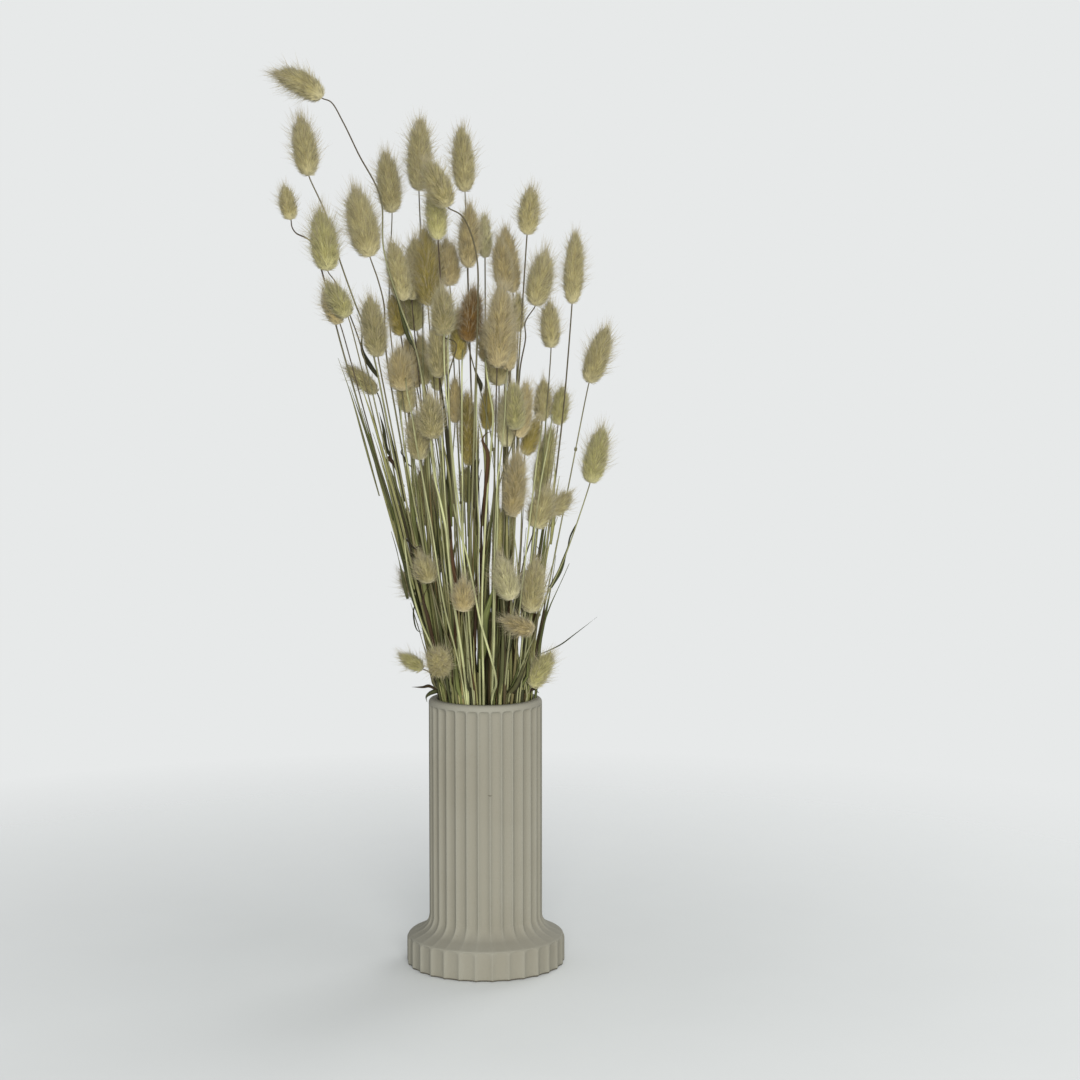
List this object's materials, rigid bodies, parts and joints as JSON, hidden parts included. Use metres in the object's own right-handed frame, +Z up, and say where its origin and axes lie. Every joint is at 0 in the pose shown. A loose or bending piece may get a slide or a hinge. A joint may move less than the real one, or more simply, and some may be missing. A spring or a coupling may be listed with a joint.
{
  "type": "dried bunny tail grass in vase",
  "caption": "Dried bunny tail grass with furry seed heads on thin stems, standing in a matte fluted column vase with a wide foot.",
  "frame": {"origin": "centre of the vase's flat underside, on the vase's axis", "axes": "+Z up along the vase's axis; the front of the bunch, as pictured, faces -Y; +X is to its right"},
  "size_m": [0.2548, 0.1389, 0.6698],
  "materials": {
    "vase": "matte",
    "stems": "matte",
    "fur_sage": "matte",
    "fur_green": "matte",
    "fur_olive": "matte",
    "fur_tan": "matte",
    "fur_brown": "matte",
    "fur_pale": "matte"
  },
  "bodies": {
    "root": {"vase": "vase", "stems": "stems", "tail_01": "fur_sage", "tail_02": "fur_sage", "tail_03": "fur_sage", "tail_04": "fur_green", "tail_05": "fur_sage", "tail_06": "fur_sage", "tail_07": "fur_sage", "tail_08": "fur_sage", "tail_09": "fur_green", "tail_10": "fur_sage", "tail_11": "fur_tan", "tail_12": "fur_pale", "tail_13": "fur_sage", "tail_14": "fur_tan", "tail_15": "fur_sage", "tail_16": "fur_sage", "tail_17": "fur_sage", "tail_18": "fur_green", "tail_19": "fur_sage", "tail_20": "fur_sage", "tail_21": "fur_tan", "tail_22": "fur_green", "tail_23": "fur_olive", "tail_24": "fur_sage", "tail_25": "fur_brown", "tail_26": "fur_tan", "tail_27": "fur_sage", "tail_28": "fur_sage", "tail_29": "fur_green", "tail_30": "fur_sage", "tail_31": "fur_sage", "tail_32": "fur_tan", "tail_33": "fur_tan", "tail_34": "fur_sage", "tail_35": "fur_tan", "tail_36": "fur_olive", "tail_37": "fur_olive", "tail_38": "fur_green", "tail_39": "fur_sage", "tail_40": "fur_pale", "tail_41": "fur_olive", "tail_42": "fur_green", "tail_43": "fur_tan", "tail_44": "fur_sage", "tail_45": "fur_sage", "tail_46": "fur_green", "tail_47": "fur_sage", "tail_48": "fur_sage", "tail_49": "fur_sage", "tail_50": "fur_tan", "tail_51": "fur_pale", "tail_52": "fur_green", "tail_53": "fur_sage", "tail_54": "fur_tan", "tail_55": "fur_sage", "tail_56": "fur_sage", "tail_57": "fur_green", "tail_58": "fur_green"}
  },
  "joints": []
}
